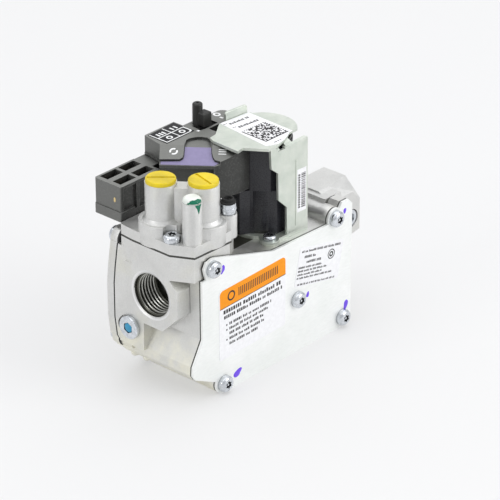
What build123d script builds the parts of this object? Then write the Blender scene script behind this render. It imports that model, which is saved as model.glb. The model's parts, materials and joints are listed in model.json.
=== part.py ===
from build123d import *
import os
from math import cos, sin, pi

# Two-stage combination gas control valve with 1/2 in NPT ports.
# Origin: centre of the inlet port face. +X runs with the gas towards the outlet port,
# -Y is the front cover side and +Z is up. All sizes are in millimetres.

# ---- driving dimensions --------------------------------------------------------------
PORT_SPAN = 125.5        # inlet port face to outlet port face
PORT_AF = 31.6           # across flats of each octagonal port boss
PORT_BORE_R = 10.4       # wall of the tapped port, at the thread's root
PORT_BORE_LEN = 15.0
PORT_MOUTH_R = 11.0      # mouth of the chamfer in front of the thread
PORT_MOUTH_LEN = 0.4
FRONT_Y = -21.5          # front sealing face of the casting
BACK_Y = 20.0            # rear sealing face of the casting
BASE_Z = -50.2           # underside, where the valve rests
TOP_Z = 7.5              # upper deck of the casting
REG_TOP_Z = 23.3         # seat of the pressure regulator
REG_END_X = 36.0         # end of the regulator block
RIGHT_X = 110.7          # right side wall of the casting
GASKET_T = 0.7
PLATE_T = 1.2
MIDDLE_SCREW = (72.1, -22.5)
COVER_SCREWS = [(15.0, 15.7), (98.6, 9.0), MIDDLE_SCREW, (104.3, -44.9), (22.0, -45.2)]
LOBE_R = 5.0             # round lobes of plate, gasket and casting about the screws
CORNER_LOBE_R = 5.3      # lobe at the lower right, whose screw stands in a corner
M4_R = 2.0
M4_HOLE_R = 2.2
HEAD_R = 4.0             # pan head of an M4 pin-in-Torx screw
HEAD_H = 3.1
SCREW_LEN = 9.0
WALL = 2.0               # wall of the plastic cover

LOW_TOWER = (9.3, 1.9)   # tower axes of the two-stage regulator
HIGH_TOWER = (20.5, -13.2)
TOWER_R = 7.2
TOWER_TOP_Z = 52.6
TOWER_BORE_R = 5.9
FLANGE_Z0 = REG_TOP_Z + 1.0
FLANGE_Z1 = 29.2
DRUM_Z = 34.5
TEST_TUBE = (9.0, -17.0)
TEST_TOP_Z = 49.0
VENT_POST = (31.2, -18.0)
VENT_SEAT_Z = 35.6
REG_SCREWS = [(4.2, -9.4), (30.0, 9.0)]
HIGH_COIL = (42.0, 19.0)  # vertical axis of the high-fire solenoid

MAIN_COIL = (74.3, 0.5)  # vertical axis of the main solenoid
COIL_R = 14.2
YOKE_TURN = -4.4         # the yoke stands slightly turned about the coil's axis
YOKE_T = 1.3
YOKE_FRONT_Y = -18.15    # front and back of the yoke, before it is turned
YOKE_BACK_Y = 16.45
YOKE_TOP_Z = 56.3
BASE_SCREWS = [(62.6, -14.8), (89.5, 13.5)]

MAIN_VALVE = (44.0, -25.0)   # X and Z of the diaphragm valve's axis, which runs along Y
FIRST_SEAT_Z = -9.0
MAIN_WALL_Y = (2.0, 5.0)

DECK_Z = 54.8            # top of the black cover, just under the yoke flange
SHELL_Z = 33.0           # underside of the cover behind the regulator
LEVER = (60.4, 27.0)
LEVER_R = 2.4
LABEL_T = 0.15

os.makedirs("parts", exist_ok=True)


# ---- helpers -------------------------------------------------------------------------
def block(x0, x1, y0, y1, z0, z1):
    """Box between two corners."""
    return Pos((x0 + x1) / 2, (y0 + y1) / 2, (z0 + z1) / 2) * Box(x1 - x0, y1 - y0, z1 - z0)


def extruded(points, travel):
    """Polygon of 3-D points, pushed along the vector travel."""
    face = Face(Wire.make_polygon([Vector(*p) for p in points], close=True))
    return Part() + Solid.extrude(face, Vector(*travel))


def prism_y(points, y0, y1):
    """Outline of (x, z) points between two depths."""
    return extruded([(x, y0, z) for x, z in points], (0, y1 - y0, 0))


def prism_z(points, z0, z1):
    """Outline of (x, y) points between two heights."""
    return extruded([(x, y, z0) for x, y in points], (0, 0, z1 - z0))


def rod(start, direction, radius, length):
    """Round bar from start along direction."""
    plane = Plane(origin=start, z_dir=direction)
    return Part() + Solid.make_cylinder(radius, length, plane)


def cone(start, direction, r_start, r_end, length):
    plane = Plane(origin=start, z_dir=direction)
    return Part() + Solid.make_cone(r_start, r_end, length, plane)


def post(xy, z0, z1, radius):
    return rod((xy[0], xy[1], z0), (0, 0, 1), radius, z1 - z0)


def tube(xy, z0, z1, r_out, r_in):
    return post(xy, z0, z1, r_out) - post(xy, z0, z1, r_in)


def pin_y(xz, y0, y1, radius):
    """Round bar along Y between two depths."""
    return rod((xz[0], y0, xz[1]), (0, 1, 0), radius, y1 - y0)


def ring_y(xz, y0, y1, r_out, r_in):
    return pin_y(xz, y0, y1, r_out) - pin_y(xz, y0, y1, r_in)


def octagon_x(x0, x1, across_flats):
    """Octagonal bar along X about the port axis, with flats up, down and to the sides."""
    corner = across_flats / 2 / cos(pi / 8)
    angles = [pi / 8 + k * pi / 4 for k in range(8)]
    points = [(x0, corner * cos(a), corner * sin(a)) for a in angles]
    return extruded(points, (x1 - x0, 0, 0))


def soften(shape, edges, radius):
    """Fillet edges, with a smaller radius where the full one doesn't fit."""
    for scale in (1.0, 0.5, 0.25):
        try:
            result = fillet(edges, radius * scale)
            if result.is_valid:
                return Part() + result
        except Exception:
            continue
    return shape


def save(shape, node):
    shape.label = node
    export_step(shape, "parts/" + node + ".step")


def save_all(shapes, node):
    """Several separate solids in one node."""
    save(Compound(children=[s for shape in shapes for s in shape.solids()]), node)


def pan_screw(seat, direction, length=SCREW_LEN, head_r=HEAD_R, head_h=HEAD_H, shank_r=M4_R):
    """Pan-head screw with a pin-in-Torx recess: head outside the seat, shank inside it."""
    head = post((0, 0), 0, head_h, head_r)
    head = soften(head, head.edges().group_by(Axis.Z)[-1], head_h * 0.55)
    depth = head_h * 0.5
    recess = post((0, 0), head_h - depth, head_h + 1, head_r * 0.34)
    for k in range(6):
        spot = (head_r * 0.34 * cos(k * pi / 3), head_r * 0.34 * sin(k * pi / 3))
        recess += post(spot, head_h - depth, head_h + 1, head_r * 0.13)
    pin = post((0, 0), head_h - depth - 0.2, head_h - 0.4, head_r * 0.14)
    screw = head - recess + pin + post((0, 0), -length, 0.1, shank_r)
    return Plane(origin=seat, z_dir=direction) * screw


# ---- front outline shared by the casting, gasket and plate -----------------------------
FRONT_OUTLINE = [
    (8.2, 11.4), (8.4, -17.9), (2.0, -29.4), (1.7, -33.6), (3.3, -36.0), (17.1, -42.8),
    (20.0, -49.8), (22.0, BASE_Z), (104.3, BASE_Z), (RIGHT_X, -45.2), (RIGHT_X, 12.4),
    (108.0, 15.3), (103.4, 15.3), (101.6, 13.0), (94.5, 7.4), (55.4, 8.7), (17.0, 20.4),
    (11.0, 20.0), (9.4, 17.2), (10.9, 11.4),
]


def front_layer(y0, y1):
    """The front outline with its screw lobes, between two depths."""
    layer = prism_y(FRONT_OUTLINE, y0, y1)
    for x, z in COVER_SCREWS[:2] + COVER_SCREWS[4:]:
        layer += pin_y((x, z), y0, y1, LOBE_R)
    return layer + pin_y(COVER_SCREWS[3], y0, y1, CORNER_LOBE_R)


def screw_holes(y0, y1, radius):
    return [pin_y(spot, y0, y1, radius) for spot in COVER_SCREWS]


# ---- casting ---------------------------------------------------------------------------
BODY_OUTLINE = [
    (9.2, 11.5), (8.4, -17.9), (2.0, -29.4), (1.7, -33.6), (3.3, -36.0), (17.1, -42.8),
    (20.0, -49.8), (22.0, BASE_Z), (104.3, BASE_Z), (RIGHT_X, -45.2), (RIGHT_X, TOP_Z),
    (REG_END_X - 0.4, TOP_Z), (REG_END_X - 0.4, 11.5),
]
REG_SEAT = [
    (0.8, 18.5), (0.0, 11.0), (0.0, -11.5), (5.3, -21.8), (28.3, -22.6), (36.0, -16.8),
    (36.0, 19.4), (2.0, 19.4),
]
REAR_LIP = [                    # the rear flange stands out at the left of the casting
    (0.2, 19.0), (-1.6, 8.0), (-2.5, 0.0), (-2.5, -17.0), (-1.2, -27.0), (3.0, -35.0),
    (19.0, -48.6), (24.0, -46.0), (24.0, 19.0),
]
REAR_LIP_ROOT = [
    (2.6, 16.0), (2.4, 8.0), (2.2, 0.0), (2.2, -17.0), (3.4, -27.0), (7.0, -35.0),
    (21.0, -46.8), (24.0, -46.0), (24.0, 16.0),
]
LIP_ROOT_Y = 10.0
OUTLET_SECTION = [              # Y and Z round the outlet boss at its root
    (-8.5, 15.8), (-15.8, 12.2), (-15.8, -9.0), (-9.0, -15.8), (6.6, -15.8), (15.8, -6.6),
    (15.8, 6.6), (6.6, 15.8),
]
OUTLET_CORNER = [(110.9, -8.5, 15.8), (129.9, -6.1, 15.8), (129.9, -18.8, 3.6)]
TAP_CENTRE = (13.0, -20.5)      # Y and Z of the inlet pressure tap
TAP_LOBE_R = 8.0
TAP_HEAD_R = 5.6
OUTLET_TAP = (119.5, -PORT_AF / 2, -1.7)
OUTLET_TAP_DEPTH = 1.6          # the outlet tap plug sits in a counterbore
REAR_SCREWS = [(5.5, 20.0), (4.9, -29.6), (22.0, -44.0), (62.0, -44.6), (84.0, -26.0), (50.0, 1.8)]
POCKET_X = (95.8, 101.0)
OUTLET_ROOT_X = 112.5


def casting_outside():
    body = front_layer(FRONT_Y, -16.0)
    body += prism_y(BODY_OUTLINE, -16.5, BACK_Y)
    body -= block(REG_END_X, 94.0, FRONT_Y - 1, -15.0, TOP_Z, 12.0)
    body += extruded([(x, max(y, FRONT_Y), 11.5) for x, y in REG_SEAT], (0, 0, REG_TOP_Z - 11.5))
    body += block(0, 12, 5.0, BACK_Y, -30.0, 12.0)
    lip_faces = [
        Face(Wire.make_polygon([Vector(x, y, z) for x, z in outline], close=True))
        for outline, y in ((REAR_LIP_ROOT, LIP_ROOT_Y), (REAR_LIP, BACK_Y))
    ]
    lip = Part() + loft(lip_faces, ruled=True)
    body += lip - rod((-4.0, *TAP_CENTRE), (1, 0, 0), TAP_HEAD_R + 0.6, 4.0)
    body += octagon_x(0, 14, PORT_AF)
    body += block(101.0, OUTLET_ROOT_X, -15.0, BACK_Y, -20.0, 15.0)
    body += block(POCKET_X[0] - 4, 104.0, -3.0, BACK_Y, 2.0, TOP_Z)
    outlet = extruded([(104.0, y, z) for y, z in OUTLET_SECTION], (PORT_SPAN - 104.0, 0, 0))
    body += outlet - extruded(OUTLET_CORNER, (2.0, -14.0, 14.0))
    body += pin_y(COVER_SCREWS[1], FRONT_Y, -3.0, 4.7)
    tap_lobe = rod((0, TAP_CENTRE[0], TAP_CENTRE[1]), (1, 0, 0), TAP_LOBE_R, 11)
    body += tap_lobe - block(-5, 20, BACK_Y, 30, -60, 20)
    for spot in REAR_SCREWS[1:]:
        body += pin_y(spot, 13.0, BACK_Y, 4.6)
    return body


def gas_ways():
    """Everything that is cast or bored out of the body."""
    cuts = [
        block(18, 88, FRONT_Y - 1, 12, FIRST_SEAT_Z, 3.5),
        block(18, 34, -16, 12, 2, 9),
        block(14, 92, FRONT_Y - 1, MAIN_WALL_Y[0], -39, FIRST_SEAT_Z - 3),
        post(MAIN_COIL, FIRST_SEAT_Z - 4, FIRST_SEAT_Z + 1, 6.5),
        post(MAIN_COIL, 3, TOP_Z + 1, 7.0),
        pin_y(MAIN_VALVE, MAIN_WALL_Y[0] - 1, MAIN_WALL_Y[1] + 1, 8.5),
        pin_y(MAIN_VALVE, MAIN_WALL_Y[1], BACK_Y + 1, 16.0),
        block(55, 106, 7, 15, -24, -13),
        block(97, 107, -7, 15, -24, 0),
        rod((102.5, 0, 0), (1, 0, 0), 7.8, 9),
        rod((14, 0, 0), (1, 0, 0), 8.8, 6),
        block(POCKET_X[0], POCKET_X[1], -2.0, BACK_Y + 1, 4.0, 16.0),
    ]
    for sign, face in ((1, 0.0), (-1, PORT_SPAN)):
        cuts.append(rod((face, 0, 0), (sign, 0, 0), PORT_BORE_R, PORT_BORE_LEN))
        cuts.append(cone((face - sign * 0.01, 0, 0), (sign, 0, 0), PORT_MOUTH_R, PORT_BORE_R, PORT_MOUTH_LEN))
    for tower in (LOW_TOWER, HIGH_TOWER):
        cuts.append(post(tower, 18.3, REG_TOP_Z + 1, 4.0))
    for x, y in REG_SCREWS:
        cuts.append(post((x, y), 17.0, REG_TOP_Z + 1, M4_R + 0.05))
    for x, y in BASE_SCREWS:
        cuts.append(post((x, y), TOP_Z - 3.6, TOP_Z + 1, 1.6))
    cuts.append(rod((-1, *TAP_CENTRE), (1, 0, 0), 4.1, 9.0))
    cuts.append(rod(OUTLET_TAP, (0, 1, 0), 3.9, 4.5))
    bore_start = (OUTLET_TAP[0], OUTLET_TAP[1] - 1.0, OUTLET_TAP[2])
    cuts.append(rod(bore_start, (0, 1, 0), 4.7, OUTLET_TAP_DEPTH + 1.0))
    return cuts


def make_valve_body():
    body = casting_outside()
    body -= gas_ways()
    body += pin_y(MIDDLE_SCREW, FRONT_Y, MAIN_WALL_Y[0], 4.6)
    for x, z in COVER_SCREWS:
        body -= pin_y((x, z), FRONT_Y - 1, FRONT_Y + 9.5, M4_R + 0.05)
    for x, z in REAR_SCREWS:
        body -= pin_y((x, z), BACK_Y - 7.5, BACK_Y + 1, M4_R + 0.05)
    return body


save(make_valve_body(), "valve_body")


# ---- front cover ------------------------------------------------------------------------
GASKET_Y = FRONT_Y - GASKET_T
PLATE_Y = GASKET_Y - PLATE_T
save(front_layer(GASKET_Y, FRONT_Y) - screw_holes(-30, 0, M4_HOLE_R), "front_cover_gasket")
save(front_layer(PLATE_Y, GASKET_Y) - screw_holes(-30, 0, M4_HOLE_R), "front_cover_plate")
save_all([pan_screw((x, PLATE_Y, z), (0, -1, 0)) for x, z in COVER_SCREWS], "front_cover_screws")


# ---- rear cover, diaphragm and main valve -------------------------------------------------
REAR_OUTLINE = [
    (0.2, 19.0), (-1.6, 8.0), (-2.5, 0.0), (-2.5, -17.0), (-1.2, -27.0), (3.0, -35.0),
    (19.0, -48.6), (64.0, -49.2), (88.5, -27.0), (80.0, -8.0), (54.0, 6.0), (30.0, 9.5), (12.0, 19.6),
]
MEMBRANE_T = 0.8
REAR_Y = BACK_Y + MEMBRANE_T
REAR_T = 4.0


def rear_layer(y0, y1):
    layer = prism_y(REAR_OUTLINE, y0, y1)
    for spot in REAR_SCREWS:
        layer += pin_y(spot, y0, y1, LOBE_R)
    for spot in REAR_SCREWS:
        layer -= pin_y(spot, y0 - 1, y1 + 1, M4_HOLE_R)
    return layer


def make_rear_cover():
    cover = rear_layer(REAR_Y, REAR_Y + REAR_T)
    dome = cone((MAIN_VALVE[0], REAR_Y + REAR_T - 0.5, MAIN_VALVE[1]), (0, 1, 0), 19.0, 17.0, 3.5)
    cover += dome
    return cover - pin_y(MAIN_VALVE, REAR_Y - 1, REAR_Y + 4.6, 15.0)


save(make_rear_cover(), "rear_cover")
save(rear_layer(BACK_Y, REAR_Y), "valve_diaphragm")
rear_heads = [pan_screw((x, REAR_Y + REAR_T, z), (0, 1, 0), length=11.0) for x, z in REAR_SCREWS]
save_all(rear_heads, "rear_cover_screws")

STEM_Y0 = MAIN_WALL_Y[0] - 3.0
save(pin_y(MAIN_VALVE, BACK_Y - 1.5, BACK_Y, 11.0), "diaphragm_plate")
save(pin_y(MAIN_VALVE, STEM_Y0, BACK_Y - 1.5, 2.4), "main_valve_stem")
save(ring_y(MAIN_VALVE, STEM_Y0, MAIN_WALL_Y[0], 10.4, 2.4), "main_valve_disc")
save(ring_y(MAIN_VALVE, FRONT_Y, STEM_Y0, 6.0, 4.9), "main_valve_spring")
save(rod((15.3, 0, 0), (1, 0, 0), 8.7, 0.8), "inlet_screen")


# ---- pressure taps ------------------------------------------------------------------------
def tap_plug(seat, direction, head_r, head_h, shank_r, length):
    """Hex-socket plug: head outside the seat, shank screwed in."""
    plug = post((0, 0), 0, head_h, head_r)
    plug = soften(plug, plug.edges().group_by(Axis.Z)[-1], 0.5)
    plug += post((0, 0), -length, 0.1, shank_r)
    socket = Pos(0, 0, head_h - 1.5) * extrude(RegularPolygon(2.75, 6), 5)
    return Plane(origin=seat, z_dir=direction) * (plug - socket)


TAP_LIFT = 0.02
inlet_tap_seat = (-TAP_LIFT, *TAP_CENTRE)
outlet_tap_seat = (OUTLET_TAP[0], OUTLET_TAP[1] + OUTLET_TAP_DEPTH - TAP_LIFT, OUTLET_TAP[2])
save(tap_plug(inlet_tap_seat, (-1, 0, 0), TAP_HEAD_R, 1.9, 4.05, 7.0), "inlet_tap_plug")
save(tap_plug(outlet_tap_seat, (0, -1, 0), 4.4, 1.2, 3.85, 2.7), "outlet_tap_plug")


# ---- pressure regulator ---------------------------------------------------------------------
HF_Z0 = 33.2             # seat of the high-fire solenoid
ARM_Y = (11.4, 19.4)     # arm of the housing that carries it


def make_regulator_gasket():
    gasket = prism_z(REG_SEAT, REG_TOP_Z, FLANGE_Z0)
    for tower in (LOW_TOWER, HIGH_TOWER):
        gasket -= post(tower, REG_TOP_Z - 1, FLANGE_Z0 + 1, 6.2)
    return gasket - [post(spot, REG_TOP_Z - 1, FLANGE_Z0 + 1, M4_HOLE_R) for spot in REG_SCREWS]


def make_regulator_housing():
    housing = prism_z(REG_SEAT, FLANGE_Z0, FLANGE_Z1)
    housing += post(VENT_POST, FLANGE_Z0, VENT_SEAT_Z, 4.0)
    for tower in (LOW_TOWER, HIGH_TOWER):
        housing += post(tower, FLANGE_Z0, DRUM_Z, 10.2)
        housing += post(tower, FLANGE_Z0, TOWER_TOP_Z, TOWER_R)
        foot = (tower[0], tower[1], DRUM_Z)
        housing += cone(foot, (0, 0, 1), TOWER_R + 1.2, TOWER_R, 1.6)
    run = Vector(HIGH_TOWER[0] - LOW_TOWER[0], HIGH_TOWER[1] - LOW_TOWER[1], 0)
    middle = Vector(LOW_TOWER[0], LOW_TOWER[1], 0) + run * 0.5
    web = Box(run.length - 6, 7.0, 51.0 - FLANGE_Z0)
    angle = Vector(1, 0, 0).get_signed_angle(run, Vector(0, 0, 1))
    housing += Pos(middle.X, middle.Y, (51.0 + FLANGE_Z0) / 2) * Rot(0, 0, angle) * web
    housing += post(TEST_TUBE, FLANGE_Z0, TEST_TOP_Z, 4.5)
    housing += post(HIGH_COIL, FLANGE_Z0, HF_Z0, 8.0)
    housing += block(28.0, HIGH_COIL[0], ARM_Y[0], ARM_Y[1], FLANGE_Z0, FLANGE_Z1)
    for tower in (LOW_TOWER, HIGH_TOWER):
        housing -= post(tower, 33.0, TOWER_TOP_Z + 1, TOWER_BORE_R)
        housing -= post(tower, FLANGE_Z0 - 1, 34.0, 4.9)
        housing -= post(tower, FLANGE_Z0 - 1, FLANGE_Z0 + 1.4, 6.2)
    housing -= post(TEST_TUBE, FLANGE_Z0 + 3, TEST_TOP_Z + 1, 2.6)
    for x, y in REG_SCREWS:
        housing -= post((x, y), FLANGE_Z0 - 1, 60.0, M4_HOLE_R)
        housing -= post((x, y), FLANGE_Z1, 60.0, HEAD_R + 0.3)
    return housing


save(make_regulator_gasket(), "regulator_gasket")
save(make_regulator_housing(), "regulator_housing")
save_all([pan_screw((x, y, FLANGE_Z1), (0, 0, 1)) for x, y in REG_SCREWS], "regulator_screws")

DIAPHRAGM_Z = (REG_TOP_Z + 0.1, REG_TOP_Z + 0.9)
SEAT_TOP_Z = 29.5
SCREW_BOTTOM_Z = 42.5
towers = (LOW_TOWER, HIGH_TOWER)
save_all([post(t, *DIAPHRAGM_Z, 6.1) for t in towers], "regulator_diaphragms")
save_all([post(t, DIAPHRAGM_Z[1], 25.4, 6.0) + post(t, 25.0, SEAT_TOP_Z, 3.2) for t in towers],
         "regulator_spring_seats")


def make_adjusting_screw(tower):
    screw = post(tower, SCREW_BOTTOM_Z, 47.5, TOWER_BORE_R - 0.05)
    return screw - Pos(tower[0], tower[1], 47.5) * Box(9.0, 1.2, 3.0)


def make_tower_cap(tower, slot_angle):
    """Slotted cap: a rimmed disc on the tower with a stub in its bore."""
    cap = post(tower, TOWER_TOP_Z + 0.02, TOWER_TOP_Z + 1.9, 6.85)
    cap = soften(cap, cap.edges().group_by(Axis.Z)[-1], 0.7)
    cap += post(tower, 50.2, TOWER_TOP_Z + 0.1, TOWER_BORE_R - 0.05)
    slot = Rot(0, 0, slot_angle) * Box(12.4, 1.2, 1.6)
    return cap - Pos(tower[0], tower[1], TOWER_TOP_Z + 1.9) * slot


for name, tower, slot_angle in (("low", LOW_TOWER, -48.3), ("high", HIGH_TOWER, -104.6)):
    save(make_tower_cap(tower, slot_angle), name + "_fire_cap")
    save(make_adjusting_screw(tower), name + "_adjusting_screw")
    save(tube(tower, 25.4, SCREW_BOTTOM_Z, 4.5, 3.5), name + "_regulator_spring")

cap_top = post(TEST_TUBE, TEST_TOP_Z, TEST_TOP_Z + 2.4, 4.2)
cap_top = soften(cap_top, cap_top.edges().group_by(Axis.Z)[-1], 2.0)
save(cap_top + post(TEST_TUBE, TEST_TOP_Z - 5.0, TEST_TOP_Z + 0.1, 2.55), "test_port_cap")

VENT_TOP_Z = 40.6
vent = post(VENT_POST, VENT_SEAT_Z, VENT_TOP_Z, 3.5) + post(VENT_POST, 37.0, 38.6, 3.75)
save(vent - post(VENT_POST, VENT_SEAT_Z - 1, VENT_TOP_Z + 1, 1.2), "vent_fitting")
vent_cap = tube(VENT_POST, VENT_TOP_Z, VENT_TOP_Z + 2.3, 2.7, 1.9)
save(vent_cap + tube(VENT_POST, VENT_TOP_Z, VENT_TOP_Z + 0.9, 3.6, 1.2), "vent_nipple")


# ---- black cover, connector and on/off lever ---------------------------------------------------
COVER_BACK_Y = 36.2
COVER_STEP_X = 54.3
COVER_STEP_Y = 30.4
COVER_END_X = 59.5
DECK_CORNER = (32.9, 24.5)      # left end of the fold between the deck and the sloping panel
FOOT_CORNER = (25.4, 18.0)      # left end of the slope's foot
SLOPE_DIR = (0.6187, -0.7857)   # plan direction of the fold and the foot
FOOT_LEN = 24.9
FOOT_Z = 49.3
RECESS = 1.3                    # the middle of the deck and slope lies this much lower
LIP = 1.4                       # thickness of the slope's foot over the wall set back below
SETBACK = 3.0
LEFT_BACK = (35.2, COVER_BACK_Y)


def along(start, distance, inward=0.0):
    """Point beside start, along the fold and inward from it."""
    u, v = SLOPE_DIR
    return (start[0] + u * distance - v * inward, start[1] + v * distance + u * inward)


foot_end = along(FOOT_CORNER, FOOT_LEN)
# The sloping panel's plane: origin below the deck corner at foot height, normal up and outward.
SLOPE_NORMAL = Vector(-0.3000, -0.2363, 0.9242)
SLOPE_ORIGIN = (22.43, 16.27, FOOT_Z)
slope_plane = Plane(origin=SLOPE_ORIGIN, x_dir=(SLOPE_DIR[0], SLOPE_DIR[1], 0), z_dir=SLOPE_NORMAL)


def slope_panel(points, lift, thickness):
    """Flat piece lying on the sloping panel, from (along, up) points."""
    face = Face(Wire.make_polygon([Vector(u, v, lift) for u, v in points], close=True))
    return slope_plane * (Part() + Solid.extrude(face, Vector(0, 0, thickness)))


def above_slope(lift):
    return slope_panel([(-60, -40), (90, -40), (90, 90), (-60, 90)], lift, 60)


def cover_plan():
    """Outline of the cover: slanted left side, foot of the slope, then a long bow to the coil."""
    bow_end = (COVER_END_X, -5.2)
    points = [
        bow_end, (COVER_END_X, COVER_STEP_Y), (COVER_STEP_X, COVER_STEP_Y),
        (COVER_STEP_X, COVER_BACK_Y), LEFT_BACK, DECK_CORNER, FOOT_CORNER, foot_end,
    ]
    edges = [Line(a, b) for a, b in zip(points, points[1:])]
    edges.append(ThreePointArc(foot_end, (50.4, -5.0), bow_end))
    return make_face(Curve() + edges)


COVER_INSIDE = [
    (37.0, 34.2), (34.9, 24.0), (34.2, 23.0), (30.4, 19.7), (44.7, 1.6), (50.0, -1.6),
    (57.5, -2.0), (57.5, 27.4), (52.3, 27.4), (52.3, 34.2),
]
COLUMN = [(44.0, 19.8), (44.0, 11.0), (50.0, 9.0), (56.0, 9.0), (56.0, 19.8)]
ARM_BACK = [
    (55.0, 19.4), (76.0, 19.4), (76.0, 29.4), (65.6, 29.4), (65.6, COVER_STEP_Y), (55.0, COVER_STEP_Y),
]
ROOM_X = (55.0, 65.6)           # deeper part of the arm, round the lever's foot
OFF_LOBE = (76.0, 26.0)         # round end of the deck behind the yoke
ARCH = [
    (36.0, 10.0), (37.7, 14.0), (40.4, 16.4), (43.9, 18.8), (45.8, 19.1), (47.7, 18.5),
    (49.8, 17.3), (51.3, 15.6), (52.2, 13.4), (51.2, 10.6), (45.7, 5.1), (42.5, 2.0),
]
SLOPE_RECESS = [
    (-3.0, -1.0), (27.6, -1.0), (27.6, 5.2), (25.2, 5.9), (24.2, 7.9), (23.6, 10.5), (23.4, 18.0),
    (10.9, 18.0), (10.9, 8.6), (10.6, 6.9), (9.4, 5.8), (-3.0, 5.4),
]
LEVER_SLOT = [(55.6, 20.9), (58.1, 20.4), (67.2, 20.6), (67.2, 27.0), (56.6, 27.0)]
SLOT_DEPTH = 1.2


def make_actuator_cover():
    cover = Part() + Pos(0, 0, SHELL_Z) * extrude(cover_plan(), DECK_Z - SHELL_Z, dir=(0, 0, 1))
    cover += prism_z(ARM_BACK, 50.5, DECK_Z) + post(OFF_LOBE, 50.5, DECK_Z, 3.4)
    cover += block(*ROOM_X, 19.4, COVER_STEP_Y, 46.0, DECK_Z)
    cover -= above_slope(0.0) & block(0, COVER_END_X + 1, -20, 60, 40, 70)
    cover -= slope_panel(SLOPE_RECESS, -RECESS, 10)
    cover -= prism_z(ARCH, DECK_Z - RECESS, DECK_Z + 1)
    wall = [
        along(FOOT_CORNER, -6.0, -8.0), along(foot_end, -0.6, -8.0),
        along(foot_end, -0.6, SETBACK), along(FOOT_CORNER, -6.0, SETBACK),
    ]
    cover -= prism_z(wall, SHELL_Z - 1, FOOT_Z - LIP)
    hollow = prism_z(COVER_INSIDE, SHELL_Z - 1, DECK_Z - WALL)
    cover -= hollow - above_slope(-RECESS - WALL)
    cover -= block(ROOM_X[0], ROOM_X[1] - 1.4, 20.8, COVER_STEP_Y - 0.6, 45.0, DECK_Z - WALL)
    cover += prism_z(COLUMN, TOP_Z, SHELL_Z) - prism_z(COLUMN_INSIDE, TOP_Z - 1, SHELL_Z + 1)
    cover -= post(HIGH_COIL, FLANGE_Z0 - 1, HF_Z0 + 0.2, 8.6)
    cover -= block(35.0, 46.0, ARM_Y[0] - 0.6, 30.0, FLANGE_Z0 - 1, FLANGE_Z1 + 0.6)
    cover -= post(MAIN_COIL, 0, DECK_Z + 4, COIL_R + 0.5) & block(40, 90, -30, 19.0, 0, 60)
    cover += wall_ridge()
    cover -= prism_z(LEVER_SLOT, DECK_Z - SLOT_DEPTH, DECK_Z + 1)
    return cover - post(LEVER, 50.0, 70.0, LEVER_R + 0.06)


COLUMN_INSIDE = [(46.0, 17.8), (46.0, 12.6), (51.0, 11.0), (54.0, 11.0), (54.0, 17.8)]


def wall_x(y):
    """Left wall of the cover behind the deck corner."""
    share = (y - DECK_CORNER[1]) / (LEFT_BACK[1] - DECK_CORNER[1])
    return DECK_CORNER[0] + share * (LEFT_BACK[0] - DECK_CORNER[0])


def wall_ridge():
    """Thin ledge along the left wall, just above the connector."""
    z = CONNECTOR_Z[1] + 0.3
    outline = [(wall_x(y) - side, y) for y, side in ((25.0, 0.5), (36.0, 0.5), (36.0, -0.5), (25.0, -0.5))]
    return prism_z(outline, z, z + 0.8)


CONNECTOR_X = (2.8, 28.0)
CONNECTOR_Y = (20.1, 36.4)
CONNECTOR_Z = (28.5, 45.6)
CAVITY_X = [(5.0, 15.0), (16.6, 26.6)]
CAVITY_Y = [(22.3, 27.3), (30.3, 35.3)]
CAVITY_FLOOR_Z = 31.5
SKIRT_TOP_Z = 33.2
KEY = 0.6                # ledge in each cavity, beside the middle rib


def make_connector():
    box = block(*CONNECTOR_X, *CONNECTOR_Y, *CONNECTOR_Z)
    for x0, x1 in ((4.6, 12.8), (14.6, 29.0)):
        box -= block(x0, x1, CONNECTOR_Y[0] - 1, CONNECTOR_Y[0] + 1.2, 32.0, 44.4)
    corners = box.edges().filter_by(Axis.Z).group_by(Axis.X)[0]
    box = soften(box, corners, 1.0)
    left, front = CONNECTOR_X[0] - 0.4, CONNECTOR_Y[0] - 0.4
    skirt = block(left, 11.5, front, CONNECTOR_Y[1], CONNECTOR_Z[0], SKIRT_TOP_Z)
    box += soften(skirt, skirt.edges().filter_by(Axis.Z).group_by(Axis.X)[0], 1.0)
    front_y, back_y = 25.0, 36.0
    neck = [(27.0, front_y), (wall_x(front_y), front_y), (wall_x(back_y), back_y), (27.0, back_y)]
    box += prism_z(neck, SHELL_Z, CONNECTOR_Z[1])
    for x0, x1 in CAVITY_X:
        for y0, y1 in CAVITY_Y:
            box -= block(x0, x1, y0, y1, CAVITY_FLOOR_Z, 60.0)
            middle = (x0 + x1) / 2
            box += block(middle - 2.0, middle + 2.0, y0, y0 + KEY, CAVITY_FLOOR_Z, CONNECTOR_Z[1] - 1.0)
    return box


save(make_actuator_cover(), "actuator_cover")
save(make_connector(), "connector_housing")
blades = []
for x0, x1 in CAVITY_X:
    for y0, y1 in CAVITY_Y:
        mid_x, mid_y = (x0 + x1) / 2, (y0 + y1) / 2 + 0.5
        blades.append(block(mid_x - 3.15, mid_x + 3.15, mid_y - 0.4, mid_y + 0.4, CAVITY_FLOOR_Z, 42.5))
save_all(blades, "connector_terminals")

PADDLE = (58.9, 64.0, 21.7, 26.3)
PADDLE_TOP_Z = 61.3
LEVER_TOP_Z = 65.2
COLLAR_Z = (DECK_Z - WALL - 2.0, DECK_Z - WALL - 0.2)


def make_lever():
    lever = post(LEVER, COLLAR_Z[0], LEVER_TOP_Z, LEVER_R)
    lever = soften(lever, lever.edges().group_by(Axis.Z)[-1], 1.0)
    lever -= post(LEVER, LEVER_TOP_Z - 0.6, LEVER_TOP_Z + 1, 0.7)
    paddle = block(*PADDLE, DECK_Z + 0.2, PADDLE_TOP_Z)
    paddle = soften(paddle, paddle.edges().group_by(Axis.Z)[-1], 0.7)
    return lever + paddle + post(LEVER, *COLLAR_Z, 2.7)


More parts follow.
